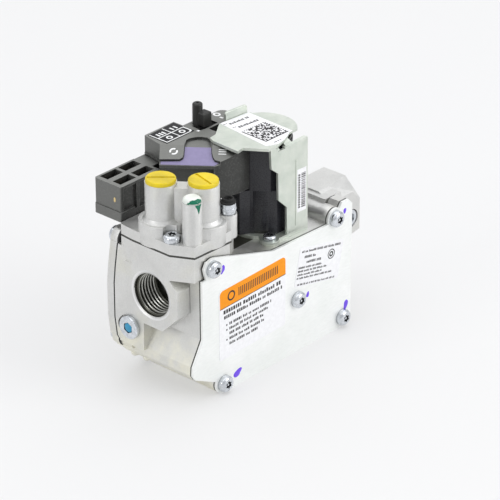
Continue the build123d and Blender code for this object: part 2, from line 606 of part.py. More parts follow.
save(make_lever(), "on_off_lever")
WIPER_Z = (COLLAR_Z[0] - 0.8, COLLAR_Z[0])
wiper = post(LEVER, *WIPER_Z, 2.6)
save(wiper + block(55.2, LEVER[0], LEVER[1] - 2.6, LEVER[1] - 0.8, *WIPER_Z), "switch_wiper")
contacts = [block(53.2, 56.0, y, y + 2.2, WIPER_Z[0] - 1.2, WIPER_Z[0] - 0.1) for y in (20.0, 23.4)]
save_all(contacts, "switch_contacts")


# ---- high-fire solenoid under the cover -----------------------------------------------------------
HF_SPOOL_TOP = HF_Z0 + 14.0
HF_PLUNGER_TOP = HF_Z0 + 9.0
HF_FLANGE_T = 1.2
high_spool = tube(HIGH_COIL, HF_Z0, HF_SPOOL_TOP, 4.4, 3.8)
high_spool += tube(HIGH_COIL, HF_Z0, HF_Z0 + HF_FLANGE_T, 7.2, 3.8)
save(high_spool + tube(HIGH_COIL, HF_SPOOL_TOP - HF_FLANGE_T, HF_SPOOL_TOP, 7.2, 3.8), "high_fire_bobbin")
save(tube(HIGH_COIL, HF_Z0 + HF_FLANGE_T, HF_SPOOL_TOP - HF_FLANGE_T, 6.9, 4.4), "high_fire_winding")
core = post(HIGH_COIL, HF_Z0, HF_SPOOL_TOP + 1.6, 3.7) - post(HIGH_COIL, HF_Z0 - 1, HF_SPOOL_TOP, 3.25)
save(core, "high_fire_core_tube")
save(post(HIGH_COIL, HF_Z0, HF_PLUNGER_TOP, 3.2), "high_fire_plunger")
save(tube(HIGH_COIL, HF_PLUNGER_TOP, HF_SPOOL_TOP, 2.9, 2.2), "high_fire_spring")


# ---- main solenoid --------------------------------------------------------------------------------
def turned(shape):
    """Turn a piece with the yoke about the coil's axis."""
    return Pos(*MAIN_COIL, 0) * Rot(0, 0, YOKE_TURN) * Pos(-MAIN_COIL[0], -MAIN_COIL[1], 0) * shape


def yoke_flange():
    """Top flange: an ear at the left, a round end over the coil, cut back in front of it."""
    arc_start = (82.4, 14.0)
    arc_end = (84.4, -12.2)
    left = [(59.0, -17.3), (52.5, -7.8), (48.3, -8.4), (49.0, 6.8), (50.4, 10.3), (54.8, 10.9), (64.2, 17.15)]
    edges = [Line(a, b) for a, b in zip(left, left[1:])]
    edges += [
        Line(left[-1], (82.4, 15.78)), Line((82.4, 15.78), arc_start),
        ThreePointArc(arc_start, (90.5, 0.5), arc_end), Line(arc_end, (78.6, -12.2)),
        ThreePointArc((78.6, -12.2), (72.4, -15.2), (64.6, -17.4)), Line((64.6, -17.4), left[0]),
    ]
    face = make_face(Curve() + edges)
    return Part() + Pos(0, 0, YOKE_TOP_Z - YOKE_T) * extrude(face, YOKE_T, dir=(0, 0, 1))


YOKE_LEG = [
    (61.9, 55.3), (62.6, 45.3), (66.7, 42.0), (67.0, 28.4), (72.2, 23.3), (72.5, 9.2),
    (85.6, 9.2), (85.3, 54.4), (82.0, 54.2), (72.0, 53.0), (66.6, 53.0), (65.4, 54.6), (64.4, 55.4),
]
FOLD_X = 77.75
YOKE_TAB = (67.3, 80.7)
TAB_TOP_Z = 60.3


def make_yoke():
    leg = prism_y(YOKE_LEG, YOKE_FRONT_Y, YOKE_FRONT_Y + YOKE_T)
    leg += prism_y([(71.0, 52.0), (84.6, 53.3), (84.6, 54.6), (71.0, 53.4)], YOKE_FRONT_Y, YOKE_FRONT_Y + 2.0)
    leg += block(FOLD_X, FOLD_X + 0.8, YOKE_FRONT_Y - 0.25, YOKE_FRONT_Y + 0.5, 12, 45)
    # two tongues of the flange, bent down behind the leg
    for x0, x1, back_y, high in ((65.4, 68.2, -14.4, 56.3), (72.2, 76.4, -11.6, 56.3)):
        tongue = [
            (x0, back_y, high), (x0, YOKE_FRONT_Y + 2.0, 54.4), (x0, YOKE_FRONT_Y + 0.4, 53.0),
            (x0, YOKE_FRONT_Y + 0.4, 51.6), (x0, YOKE_FRONT_Y + 2.0, 52.2), (x0, back_y, 55.0),
        ]
        leg += extruded(tongue, (x1 - x0, 0, 0))
    return yoke_flange() + turned(leg)


save(make_yoke(), "solenoid_yoke")
rear_leg = block(66.0, 84.0, YOKE_BACK_Y, YOKE_BACK_Y + YOKE_T, 9.2, YOKE_TOP_Z - YOKE_T)
tab = block(*YOKE_TAB, YOKE_BACK_Y, YOKE_BACK_Y + YOKE_T, 50, TAB_TOP_Z)
tab = soften(tab, tab.edges().filter_by(Axis.Y).group_by(Axis.Z)[-1], 1.4)
save(turned(rear_leg + tab), "yoke_rear_leg")

BASE_Z0, BASE_Z1 = TOP_Z, TOP_Z + 1.7


def make_solenoid_base():
    base = post(MAIN_COIL, BASE_Z0, BASE_Z1, 16.4)
    feet = block(66.0, 85.8, YOKE_FRONT_Y, YOKE_BACK_Y + YOKE_T, BASE_Z0, BASE_Z1)
    base = base & turned(block(50, 95, YOKE_FRONT_Y, YOKE_BACK_Y + YOKE_T, 0, 60))
    base += turned(feet)
    for x, y in BASE_SCREWS:
        base += post((x, y), BASE_Z0, BASE_Z1, 4.3)
        neck = Vector(MAIN_COIL[0] - x, MAIN_COIL[1] - y, 0)
        angle = Vector(1, 0, 0).get_signed_angle(neck, Vector(0, 0, 1))
        arm = Pos(4.5, 0, (BASE_Z0 + BASE_Z1) / 2) * Box(9.0, 8.6, BASE_Z1 - BASE_Z0)
        base += Pos(x, y, 0) * Rot(0, 0, angle) * arm
    for x, y in BASE_SCREWS:
        base -= post((x, y), 0, 20, 1.7)
    return base - post(MAIN_COIL, 0, 20, 8.6)


save(make_solenoid_base(), "solenoid_base")
base_screws = [
    pan_screw((x, y, BASE_Z1), (0, 0, 1), length=5.0, head_r=3.1, head_h=2.3, shank_r=1.5)
    for x, y in BASE_SCREWS
]
save_all(base_screws, "solenoid_base_screws")

SPOOL_Z = (BASE_Z1, 53.6)
FLANGE_T = 1.5
spool = tube(MAIN_COIL, *SPOOL_Z, 7.2, 6.2)
for z0 in (SPOOL_Z[0], SPOOL_Z[1] - FLANGE_T):
    spool += tube(MAIN_COIL, z0, z0 + FLANGE_T, COIL_R - 0.4, 6.2)
save(spool - post(MAIN_COIL, BASE_Z0, BASE_Z1 + 1.0, 8.7), "main_coil_bobbin")
# The coil is cast into a body with flat sides towards the front and the left.
COIL_Z = (SPOOL_Z[0] + FLANGE_T, SPOOL_Z[1] - FLANGE_T)
COIL_STEP_Z = 31.0
COIL_FRONT_LOW = [
    (56.6, -2.0), (60.6, -4.6), (68.6, -14.0), (74.3, -13.9), (74.3, 12.0), (60.0, 8.0), (56.6, 4.0),
]
COIL_FRONT_HIGH = [(60.4, -4.6), (66.0, -12.4), (70.0, -13.6), (74.3, -13.9), (74.3, 0.5)]
coil = post(MAIN_COIL, *COIL_Z, COIL_R)
coil += prism_z(COIL_FRONT_LOW, BASE_Z1, COIL_STEP_Z) + prism_z(COIL_FRONT_HIGH, COIL_STEP_Z, COIL_Z[1])
coil -= post(MAIN_COIL, BASE_Z1 - 1, COIL_Z[0], COIL_R - 0.2)
rest = block(74.0, 81.0, YOKE_FRONT_Y + YOKE_T, -12.5, COIL_Z[0], COIL_Z[1] - 3.0)
save((coil + turned(rest)) - post(MAIN_COIL, 0, 60, 7.2), "main_coil")

core_tube = post(MAIN_COIL, 4.2, 46.0, 6.1) + post(MAIN_COIL, TOP_Z, TOP_Z + 1.4, 8.5)
save(core_tube - post(MAIN_COIL, 0, 60, 5.35), "main_core_tube")
save(post(MAIN_COIL, 30.0, YOKE_TOP_Z - YOKE_T, 5.3), "main_pole_piece")
PLUNGER_TOP = 26.5
plunger = post(MAIN_COIL, FIRST_SEAT_Z + 3.0, PLUNGER_TOP, 5.25)
save(plunger - post(MAIN_COIL, 20.0, 30.0, 3.3), "main_plunger")
save(tube(MAIN_COIL, 20.0, 30.0, 3.0, 2.2), "main_plunger_spring")
save(post(MAIN_COIL, FIRST_SEAT_Z, FIRST_SEAT_Z + 3.0, 8.6), "first_valve_disc")


# ---- labels ------------------------------------------------------------------------------------------
def label_y(points):
    return prism_y(points, PLATE_Y - LABEL_T, PLATE_Y)


instruction = label_y([(19.0, -33.2), (63.8, -32.4), (63.8, 3.4), (19.0, 2.4)])
save(soften(instruction, instruction.edges().filter_by(Axis.Y), 1.6), "instruction_label")
rating = label_y([(74.0, 2.9), (69.9, -15.8), (100.7, -22.7), (104.9, -3.9)])
save(soften(rating, rating.edges().filter_by(Axis.Y), 1.0), "rating_label")
strip = block(FOLD_X + 0.85, 84.4, YOKE_FRONT_Y - LABEL_T, YOKE_FRONT_Y, 18.3, 39.8)
save(turned(strip), "bar_code_label")
CODE = [
    (64.6, 16.9), (82.0, 15.4), (80.6, -12.6), (78.6, -12.6), (75.2, -14.3), (70.4, -16.2),
    (66.1, -16.8), (62.6, -15.5), (60.5, -14.2),
]
save(prism_z(CODE, YOKE_TOP_Z, YOKE_TOP_Z + LABEL_T), "matrix_code_label")
MODE = [(35.4, 22.6), (53.6, 22.7), (53.4, 35.5), (35.9, 34.7)]
save(prism_z(MODE, DECK_Z, DECK_Z + LABEL_T), "mode_label")
PURPLE = [
    (1.0, 3.4), (25.0, 3.4), (26.2, 4.4), (26.9, 5.0), (25.0, 5.7), (23.9, 7.9), (23.3, 10.5), (22.9, 14.2),
    (11.2, 14.2), (11.2, 8.6), (10.9, 6.7), (9.5, 5.5), (1.0, 5.1),
]
save(slope_panel(PURPLE, -RECESS, LABEL_T), "colour_label")
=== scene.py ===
import json
from math import ceil, cos, pi, radians, sin
from random import Random

import bmesh
import bpy
from mathutils import Matrix, Vector


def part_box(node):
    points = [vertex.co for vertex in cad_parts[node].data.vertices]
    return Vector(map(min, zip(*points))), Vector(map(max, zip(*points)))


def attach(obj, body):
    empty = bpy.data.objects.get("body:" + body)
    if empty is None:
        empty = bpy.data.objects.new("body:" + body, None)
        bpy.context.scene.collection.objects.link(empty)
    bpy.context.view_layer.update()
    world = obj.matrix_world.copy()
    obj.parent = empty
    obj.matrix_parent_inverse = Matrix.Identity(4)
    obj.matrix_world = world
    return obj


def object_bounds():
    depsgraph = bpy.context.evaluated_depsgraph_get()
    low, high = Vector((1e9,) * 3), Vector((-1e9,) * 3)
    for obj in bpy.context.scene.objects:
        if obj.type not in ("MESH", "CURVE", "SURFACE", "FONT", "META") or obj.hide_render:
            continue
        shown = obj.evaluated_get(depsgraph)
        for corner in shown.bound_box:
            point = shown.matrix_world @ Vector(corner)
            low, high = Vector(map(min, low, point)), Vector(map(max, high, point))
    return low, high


# Looks of a two-stage gas control valve. Lengths are in millimetres until MM scales them, except
# those of the floor, the lights and the camera, which are in metres.
MM = 0.001
SEED = 7                # for the printed marks, drawn label by label
SHARP_EDGE_DOT = 0.75   # softened normal against true normal, where an edge counts as sharp
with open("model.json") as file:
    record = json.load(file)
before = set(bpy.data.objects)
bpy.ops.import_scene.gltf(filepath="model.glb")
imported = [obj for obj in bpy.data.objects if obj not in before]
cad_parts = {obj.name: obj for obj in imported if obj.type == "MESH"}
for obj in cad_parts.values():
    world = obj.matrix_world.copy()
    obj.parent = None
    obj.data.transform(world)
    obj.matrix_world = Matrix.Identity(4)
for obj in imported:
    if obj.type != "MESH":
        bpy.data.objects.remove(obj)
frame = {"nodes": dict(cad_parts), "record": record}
cad_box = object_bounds()
nodes = frame["nodes"]
rng = Random(SEED)


# ---- node trees ------------------------------------------------------------------------------
class Finish:
    """One material's node tree around a Principled shader."""

    def __init__(self, name, roughness=0.5, metallic=0.0, **sockets):
        self.material = bpy.data.materials.new(name)
        self.material.use_nodes = True
        self.tree = self.material.node_tree
        self.shader = self.tree.nodes["Principled BSDF"]
        self.shader.inputs["Roughness"].default_value = roughness
        self.shader.inputs["Metallic"].default_value = metallic
        for socket, value in sockets.items():
            self.shader.inputs[socket.replace("_", " ")].default_value = value
        self.place = self.node("ShaderNodeTexCoord").outputs["Object"]
        self.relief = None

    def node(self, kind, inputs=None, **settings):
        made = self.tree.nodes.new(kind)
        for key, value in settings.items():
            setattr(made, key, value)
        for socket, value in (inputs or {}).items():
            if isinstance(value, bpy.types.NodeSocket):
                self.tree.links.new(value, made.inputs[socket])
            else:
                made.inputs[socket].default_value = value
        return made

    def stretch(self, scale):
        """Object coordinates scaled along each axis, for directional grain."""
        mapping = self.node("ShaderNodeMapping", {"Vector": self.place, "Scale": scale})
        return mapping.outputs["Vector"]

    def noise(self, size_mm, detail=3.0, rough=0.55, vector=None, distortion=0.0):
        inputs = {
            "Vector": vector or self.place, "Scale": 1.0 / (size_mm * MM), "Detail": detail,
            "Roughness": rough, "Distortion": distortion,
        }
        return self.node("ShaderNodeTexNoise", inputs).outputs["Fac"]

    def remap(self, value, low, high, to_low=0.0, to_high=1.0):
        inputs = {
            "Value": value, "From Min": low, "From Max": high, "To Min": to_low, "To Max": to_high,
        }
        return self.node("ShaderNodeMapRange", inputs).outputs["Result"]

    def math(self, operation, a, b):
        return self.node("ShaderNodeMath", {0: a, 1: b}, operation=operation).outputs[0]

    def mix(self, fac, a, b, blend="MIX"):
        made = self.node("ShaderNodeMix", {0: fac}, data_type="RGBA", blend_type=blend)
        for slot, value in ((6, a), (7, b)):
            if isinstance(value, bpy.types.NodeSocket):
                self.tree.links.new(value, made.inputs[slot])
            else:
                made.inputs[slot].default_value = (*value, 1.0)
        return made.outputs[2]

    def colour(self, socket):
        self.tree.links.new(socket, self.shader.inputs["Base Color"])
        return socket

    def rough(self, socket):
        self.tree.links.new(socket, self.shader.inputs["Roughness"])

    def bump(self, height, strength, distance_mm):
        inputs = {"Height": height, "Strength": strength, "Distance": distance_mm * MM}
        if self.relief:
            inputs["Normal"] = self.relief
        self.relief = self.node("ShaderNodeBump", inputs).outputs["Normal"]
        self.tree.links.new(self.relief, self.shader.inputs["Normal"])

    def edges(self, radius_mm):
        """About 1 on sharp outer and inner edges and 0 on flat faces."""
        soft = self.node("ShaderNodeBevel", {"Radius": radius_mm * MM}, samples=4).outputs["Normal"]
        flat = self.node("ShaderNodeNewGeometry").outputs["Normal"]
        same = self.node("ShaderNodeVectorMath", {0: soft, 1: flat}, operation="DOT_PRODUCT")
        return self.remap(same.outputs["Value"], 1.0, SHARP_EDGE_DOT)

    def ambient_light_reach(self, reach_mm):
        """Ambient-occlusion mask: 1 on open faces, 0 in deep wells and corners where shade falls.
        """
        node = self.node("ShaderNodeAmbientOcclusion", {"Distance": reach_mm * MM}, samples=8)
        return self.remap(node.outputs["AO"], 0.3, 0.8)

    def facing(self, axis):
        """The surface normal's part along an axis: 1 facing it, 0 beside it."""
        normal = self.node("ShaderNodeNewGeometry").outputs["Normal"]
        return self.node("ShaderNodeSeparateXYZ", {0: normal}).outputs[axis]

    def along(self, axis):
        """Object coordinate along an axis, in metres."""
        return self.node("ShaderNodeSeparateXYZ", {0: self.place}).outputs[axis]

    def from_x_axis(self, near_mm, far_mm):
        """1 within near_mm of the port axis, falling to 0 at far_mm."""
        off_axis = {0: self.place, 1: (0, 1, 1)}
        across = self.node("ShaderNodeVectorMath", off_axis, operation="MULTIPLY")
        reach = self.node("ShaderNodeVectorMath", {0: across.outputs[0]}, operation="LENGTH")
        return self.remap(reach.outputs["Value"], near_mm * MM, far_mm * MM, 1.0, 0.0)


PORT_BORE_R, PORT_RING_R = 10.4, 11.9       # the ring is the machined mouth round the bore
THREAD_ROOT_R, THREAD_CREST_R = 10.55, 9.45
# painted shade for the inside of the ports and the thread roots
PAINTED_PORT_SHADE = (0.09, 0.09, 0.075)
CASTING_SKIN = (0.83, 0.81, 0.69)
SKIN_STARTS_Z, SKIN_FULL_Z = -17.0, -25.0   # the yellowish skin comes in between these heights


def thread_metal():
    """Cut thread: dark at the root with painted shade, bright along the crest."""
    f = Finish("thread_metal", metallic=0.9)
    streak = f.noise(0.9, 3.0, 0.6, f.stretch((1.0, 0.3, 0.3)))
    bright = f.mix(f.remap(streak, 0.35, 0.7), (0.78, 0.78, 0.74), (0.50, 0.50, 0.46))
    # painted shade: the thread's root is coloured dark, the crest keeps the metal's tone
    f.colour(f.mix(f.from_x_axis(THREAD_CREST_R + 0.05, THREAD_CREST_R + 0.4), PAINTED_PORT_SHADE, bright))
    f.rough(f.remap(streak, 0.3, 0.7, 0.25, 0.4))
    f.bump(streak, 0.15, 0.05)
    return f.material


def cast_aluminium():
    f = Finish("cast_aluminium", metallic=0.85)
    blotch = f.noise(11.0, 4.0, 0.55, distortion=0.4)
    stain = f.remap(f.noise(22.0, 3.0, 0.6), 0.5, 0.7)
    grain = f.noise(0.7, 2.0, 0.7)
    tone = f.mix(f.remap(blotch, 0.3, 0.7), (0.66, 0.66, 0.645), (0.74, 0.74, 0.725))
    tone = f.mix(f.math("MULTIPLY", stain, 0.45), tone, (0.66, 0.65, 0.55))
    tone = f.mix(f.remap(grain, 0.35, 0.75, 0.0, 0.22), tone, (0.42, 0.42, 0.41))
    low = f.remap(f.along("Z"), SKIN_STARTS_Z * MM, SKIN_FULL_Z * MM)
    patch = f.math("MULTIPLY", low, f.remap(f.noise(9.0, 3.0), 0.35, 0.6, 0.2, 0.8))
    tone = f.mix(patch, tone, CASTING_SKIN)
    tone = f.mix(f.math("MULTIPLY", f.edges(0.35), 0.6), tone, (0.90, 0.90, 0.89))
    end_face = f.remap(f.math("ABSOLUTE", f.facing("X"), 0.0), 0.97, 0.99)
    ring = f.math("MULTIPLY", end_face, f.from_x_axis(PORT_RING_R, PORT_RING_R + 0.15))
    tone = f.mix(f.math("MULTIPLY", ring, 0.8), tone, (0.86, 0.86, 0.86))
    # painted shade: the bore inside the port's mouth is coloured dark
    f.colour(f.mix(f.from_x_axis(PORT_BORE_R + 0.02, PORT_BORE_R + 0.08), tone, PAINTED_PORT_SHADE))
    f.rough(f.remap(f.noise(3.0, 3.0), 0.3, 0.7, 0.38, 0.52))
    f.bump(grain, 0.35, 0.10)
    f.bump(f.noise(2.6, 3.0), 0.30, 0.12)
    f.bump(f.math("MULTIPLY", end_face, f.from_x_axis(PORT_BORE_R, PORT_RING_R)), 0.8, -0.9)
    return f.material


def plated_sheet():
    f = Finish("plated_sheet", metallic=0.42)
    brush = f.noise(0.9, 3.0, 0.6, f.stretch((0.25, 1.0, 1.0)))
    cloud = f.noise(16.0, 3.0)
    tone = f.mix(f.remap(cloud, 0.35, 0.65), (0.86, 0.88, 0.86), (0.92, 0.93, 0.92))
    tone = f.mix(f.remap(brush, 0.4, 0.8, 0.0, 0.22), tone, (0.66, 0.67, 0.66))
    f.colour(f.mix(f.math("MULTIPLY", f.edges(0.25), 0.6), tone, (0.92, 0.92, 0.91)))
    f.rough(f.remap(brush, 0.3, 0.7, 0.40, 0.52))
    f.bump(brush, 0.12, 0.04)
    return f.material


def zinc_steel():
    f = Finish("zinc_steel", metallic=0.72)
    cloud = f.noise(7.0, 4.0, 0.6, distortion=0.4)
    streak = f.noise(0.8, 3.0, 0.6, f.stretch((1.0, 1.0, 0.15)))
    tone = f.mix(f.remap(cloud, 0.35, 0.65), (0.60, 0.65, 0.58), (0.70, 0.735, 0.67))
    tone = f.mix(f.remap(streak, 0.45, 0.8, 0.0, 0.3), tone, (0.60, 0.62, 0.60))
    f.colour(f.mix(f.math("MULTIPLY", f.edges(0.2), 0.6), tone, (0.88, 0.89, 0.87)))
    f.rough(f.remap(cloud, 0.3, 0.7, 0.34, 0.48))
    f.bump(streak, 0.12, 0.04)
    return f.material


def bright_steel(name, tone, roughness):
    """Bright metal, with painted shade darkening its screw sockets and narrow gaps."""
    f = Finish(name, metallic=1.0)
    cloud = f.noise(1.6, 3.0)
    dark = tuple(0.78 * c for c in tone)
    mottled = f.mix(f.remap(cloud, 0.35, 0.7), tone, dark)
    # painted shade: sockets and narrow gaps are coloured a fifth of the tone
    f.colour(f.mix(f.ambient_light_reach(2.0), tuple(0.2 * c for c in tone), mottled))
    f.rough(f.remap(f.noise(0.5, 2.0), 0.3, 0.7, roughness, roughness + 0.12))
    f.bump(cloud, 0.1, 0.05)
    return f.material


def matt_sheet(name, tone, worn):
    """Fibre or rubber: matt, with paler specks."""
    f = Finish(name, roughness=0.85)
    speck = f.noise(0.6, 3.0, 0.7)
    f.colour(f.mix(f.remap(speck, 0.45, 0.8, 0.0, 0.6), tone, worn))
    f.bump(speck, 0.3, 0.08)
    return f.material


def moulded(name, tone, worn, roughness, wear=0.6, painted_sheen_tone=None):
    """Moulded plastic with a fine texture and paler rubbed edges.

    With a painted-sheen tone, its top and left faces are painted paler as if lit, its wells are
    painted darker as shade, and its faces get dust.
    """
    f = Finish(name, Specular_IOR_Level=0.4)
    cloud = f.noise(12.0, 3.0)
    grain = f.noise(0.35, 2.0, 0.6)
    dark = tuple(0.72 * c for c in tone)
    base = f.mix(f.remap(cloud, 0.35, 0.65), dark, tone)
    if painted_sheen_tone:
        # painted light: faces turned up or to the left take the paler tone, as if lit
        up = f.remap(f.facing("Z"), 0.6, 0.95)
        left = f.remap(f.facing("X"), -0.6, -0.95, 0.0, 0.62)
        painted_sheen_mask = f.math("MULTIPLY", f.math("ADD", up, left), f.ambient_light_reach(6.0))
        base = f.mix(painted_sheen_mask, base, painted_sheen_tone)
        # painted shade: wells and corners are coloured darker
        base = f.mix(f.ambient_light_reach(6.0), tuple(0.25 * c for c in tone), base)
        dust = f.remap(f.noise(0.9, 3.0, 0.7), 0.5, 0.75, 0.0, 0.16)
        base = f.mix(f.math("MULTIPLY", dust, f.ambient_light_reach(3.0)), base, worn)
    scuff = f.math("MULTIPLY", f.edges(0.45), f.remap(f.noise(2.0, 3.0), 0.3, 0.6, 0.3, 1.0))
    f.colour(f.mix(f.math("MULTIPLY", scuff, wear), base, worn))
    f.rough(f.remap(grain, 0.3, 0.7, roughness - 0.06, roughness + 0.08))
    f.bump(grain, 0.25, 0.05)
    return f.material


def printed(name, tone, roughness):
    """Label, ink or paint: nearly even, with a faint mottle."""
    f = Finish(name, Specular_IOR_Level=0.25)
    mottle = f.noise(1.8, 2.0)
    shade = tuple(0.93 * c for c in tone)
    f.colour(f.mix(f.remap(mottle, 0.35, 0.7), tone, shade))
    f.rough(f.remap(mottle, 0.3, 0.7, roughness, roughness + 0.1))
    f.bump(f.noise(6.0, 2.0), 0.05, 0.1)
    return f.material


def wound_copper():
    f = Finish("copper", metallic=0.9, roughness=0.35)
    wave = f.node("ShaderNodeTexWave", {"Vector": f.place, "Scale": 900.0}, bands_direction="Z")
    f.colour(f.mix(wave.outputs["Fac"], (0.45, 0.17, 0.07), (0.80, 0.42, 0.22)))
    f.bump(wave.outputs["Fac"], 0.6, 0.1)
    return f.material


FINISHES = {
    "cast_aluminium": cast_aluminium(),
    "plated_sheet": plated_sheet(),
    "zinc_steel": zinc_steel(),
    "gasket": matt_sheet("gasket", (0.045, 0.045, 0.040), (0.12, 0.12, 0.11)),
    "rubber": matt_sheet("rubber", (0.03, 0.03, 0.03), (0.06, 0.06, 0.06)),
    "screw_steel": bright_steel("screw_steel", (0.72, 0.75, 0.79), 0.18),
    "spring_steel": bright_steel("spring_steel", (0.62, 0.62, 0.62), 0.30),
    "yellow_plastic": moulded(
        "yellow_plastic", (0.83, 0.63, 0.01), (0.85, 0.80, 0.06), 0.33, wear=0.8
    ),
    "white_plastic": moulded("white_plastic", (0.84, 0.88, 0.83), (0.9, 0.92, 0.9), 0.4),
    "black_rubber": matt_sheet("black_rubber", (0.012, 0.012, 0.012), (0.04, 0.04, 0.04)),
    "black_plastic": moulded(
        "black_plastic", (0.040, 0.041, 0.038), (0.33, 0.33, 0.32), 0.36,
        painted_sheen_tone=(0.182, 0.185, 0.174),
    ),
    "copper": wound_copper(),
    "brass": bright_steel("brass", (0.80, 0.62, 0.30), 0.25),
    "label_white": printed("label_white", (0.88, 0.88, 0.90), 0.42),
    "label_black": printed("label_black", (0.012, 0.012, 0.014), 0.4),
    "label_purple": printed("label_purple", (0.27, 0.24, 0.40), 0.35),
}
COIL_BLACK = moulded("coil_black", (0.032, 0.032, 0.038), (0.06, 0.06, 0.065), 0.28, wear=0.3)
LEVER_BLACK = moulded("lever_black", (0.022, 0.022, 0.021), (0.14, 0.14, 0.135), 0.36)
OWN_FINISH = {"main_coil": COIL_BLACK, "on_off_lever": LEVER_BLACK}
INK = printed("ink_grey", (0.035, 0.033, 0.035), 0.5)
BAND_ORANGE = printed("band_orange", (0.92, 0.31, 0.002), 0.4)
PAINT_VIOLET = printed("paint_violet", (0.17, 0.08, 0.78), 0.35)
PAINT_GREEN = printed("paint_green", (0.01, 0.16, 0.09), 0.3)
PAINT_BLUE = printed("paint_blue", (0.05, 0.30, 0.50), 0.3)
PRINT_WHITE = printed("print_white", (0.85, 0.86, 0.86), 0.45)
# painted shade: black for a sheet laid where only shade falls
PAINTED_SHADE_BLACK = printed("painted_shade_black", (0.003, 0.003, 0.003), 0.7)


# ---- CAD nodes: finish and softened edges ----------------------------------------------------
SLOT_OF = {part["node"]: part["material_slot"] for part in frame["record"]["subparts"]}
EDGE_MM = {
    "valve_body": 0.45, "regulator_housing": 0.5, "rear_cover": 0.5, "actuator_cover": 0.4,
    "connector_housing": 0.35, "on_off_lever": 0.25, "front_cover_plate": 0.22,
    "solenoid_yoke": 0.2, "yoke_rear_leg": 0.2, "solenoid_base": 0.25, "main_coil": 0.35,
    "vent_fitting": 0.25, "vent_nipple": 0.3, "test_port_cap": 0.2, "connector_terminals": 0.12,
}


def soften_edges(obj, width_mm):
    """Joins a CAD mesh's faces, then rounds its sharp edges."""
    weld = obj.modifiers.new("weld", "WELD")
    weld.merge_threshold = 0.002 * MM
    flatten = obj.modifiers.new("flatten", "DECIMATE")
    flatten.decimate_type = "DISSOLVE"
    flatten.angle_limit = radians(0.3)
    bevel = obj.modifiers.new("bevel", "BEVEL")
    bevel.width = width_mm * MM
    bevel.segments = 2
    bevel.limit_method = "ANGLE"
    bevel.angle_limit = radians(28)
    bevel.harden_normals = True
    bevel.use_clamp_overlap = True


for name, obj in nodes.items():
    obj.data.materials.clear()
    obj.data.materials.append(OWN_FINISH.get(name) or FINISHES[SLOT_OF[name]])
    if name in EDGE_MM:
        soften_edges(obj, EDGE_MM[name])


# ---- pieces ----------------------------------------------------------------------------------
def piece(name, mesh, material, body="valve", smooth=False):
    obj = bpy.data.objects.new(name, mesh)
    bpy.context.scene.collection.objects.link(obj)
    mesh.materials.append(material)
    if smooth:
        mesh.polygons.foreach_set("use_smooth", [True] * len(mesh.polygons))
    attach(obj, body)
    return obj


def mesh_of(name, faces):
    """Mesh from lists of corner points in millimetres, with equal corners joined."""
    mesh = bpy.data.meshes.new(name)
    bm = bmesh.new()
    for corners in faces:
        bm.faces.new([bm.verts.new(Vector(c) * MM) for c in corners])
    bmesh.ops.remove_doubles(bm, verts=bm.verts, dist=0.0005 * MM)
    bmesh.ops.recalc_face_normals(bm, faces=bm.faces)
    bm.to_mesh(mesh)
    bm.free()
    return mesh


def slab_faces(outline, place, thickness):
    """Faces of a flat plate: outline points (u, v) set by place(u, v, lift)."""
    bottom = [place(u, v, 0.0) for u, v in outline]
    top = [place(u, v, thickness) for u, v in outline]
    sides = [
        [bottom[i - 1], bottom[i], top[i], top[i - 1]] for i in range(len(outline))
    ]
    return [bottom[::-1], top, *sides]


PLATE_OUTER_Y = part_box("front_cover_plate")[0].y / MM
LABEL_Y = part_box("instruction_label")[0].y / MM
PRINT_T = 0.02          # thickness of a printed mark


def on_front(y, tilt_deg=0.0, origin=(0.0, 0.0)):
    """Places (u, v) on a plane facing the front, tilted about origin."""
    c, s = cos(radians(tilt_deg)), sin(radians(tilt_deg))

    def place(u, v, lift):
        return (origin[0] + c * u - s * v, y - lift, origin[1] + s * u + c * v)
    return place


def on_top(z, origin=(0.0, 0.0), tilt_deg=0.0):
    """Places (u, v) on a level plane facing up, turned about origin."""
    c, s = cos(radians(tilt_deg)), sin(radians(tilt_deg))

    def place(u, v, lift):
        return (origin[0] + c * u - s * v, origin[1] + s * u + c * v, z + lift)
    return place


def rect(u0, v0, u1, v1):
    return [(u0, v0), (u1, v0), (u1, v1), (u0, v1)]


def rounded_rect(u0, v0, u1, v1, radii, steps=6):
    """Outline from the lower left corner, anticlockwise, each corner with its own radius."""
    corners = [         # place, way in along each axis, start of the arc
        (u0, v0, 1, 1, pi), (u1, v0, -1, 1, 1.5 * pi),
        (u1, v1, -1, -1, 0.0), (u0, v1, 1, -1, 0.5 * pi),
    ]
    points = []
    for (u, v, su, sv, start), r in zip(corners, radii):
        if r <= 0:
            points.append((u, v))
            continue
        for k in range(steps + 1):
            a = start + 0.5 * pi * k / steps
            points.append((u + su * r + r * cos(a), v + sv * r + r * sin(a)))
    return points


def printed_rect(place, u0, v0, u1, v1):
    return slab_faces(rect(u0, v0, u1, v1), place, PRINT_T)


def print_words(place, lines):
    """Rows of upright dashes in groups that stand for words.

    Each row is (u0, u1, v, height, (fewest, most) dashes in a word).
    """
    faces = []
    for u0, u1, v, height, (short, long) in lines:
        u, left = u0, rng.randint(short, long)
        while u < u1:
            width = height * rng.uniform(0.42, 0.72)
            low, high = v - height / 2, v + height * rng.choice((0.5, 0.5, 0.24))
            faces += printed_rect(place, u, low, u + width, high)
            left -= 1
            u += width + height * (0.22 if left else 0.75)
            left = left or rng.randint(short, long)
    return faces


RING_STEPS = 28


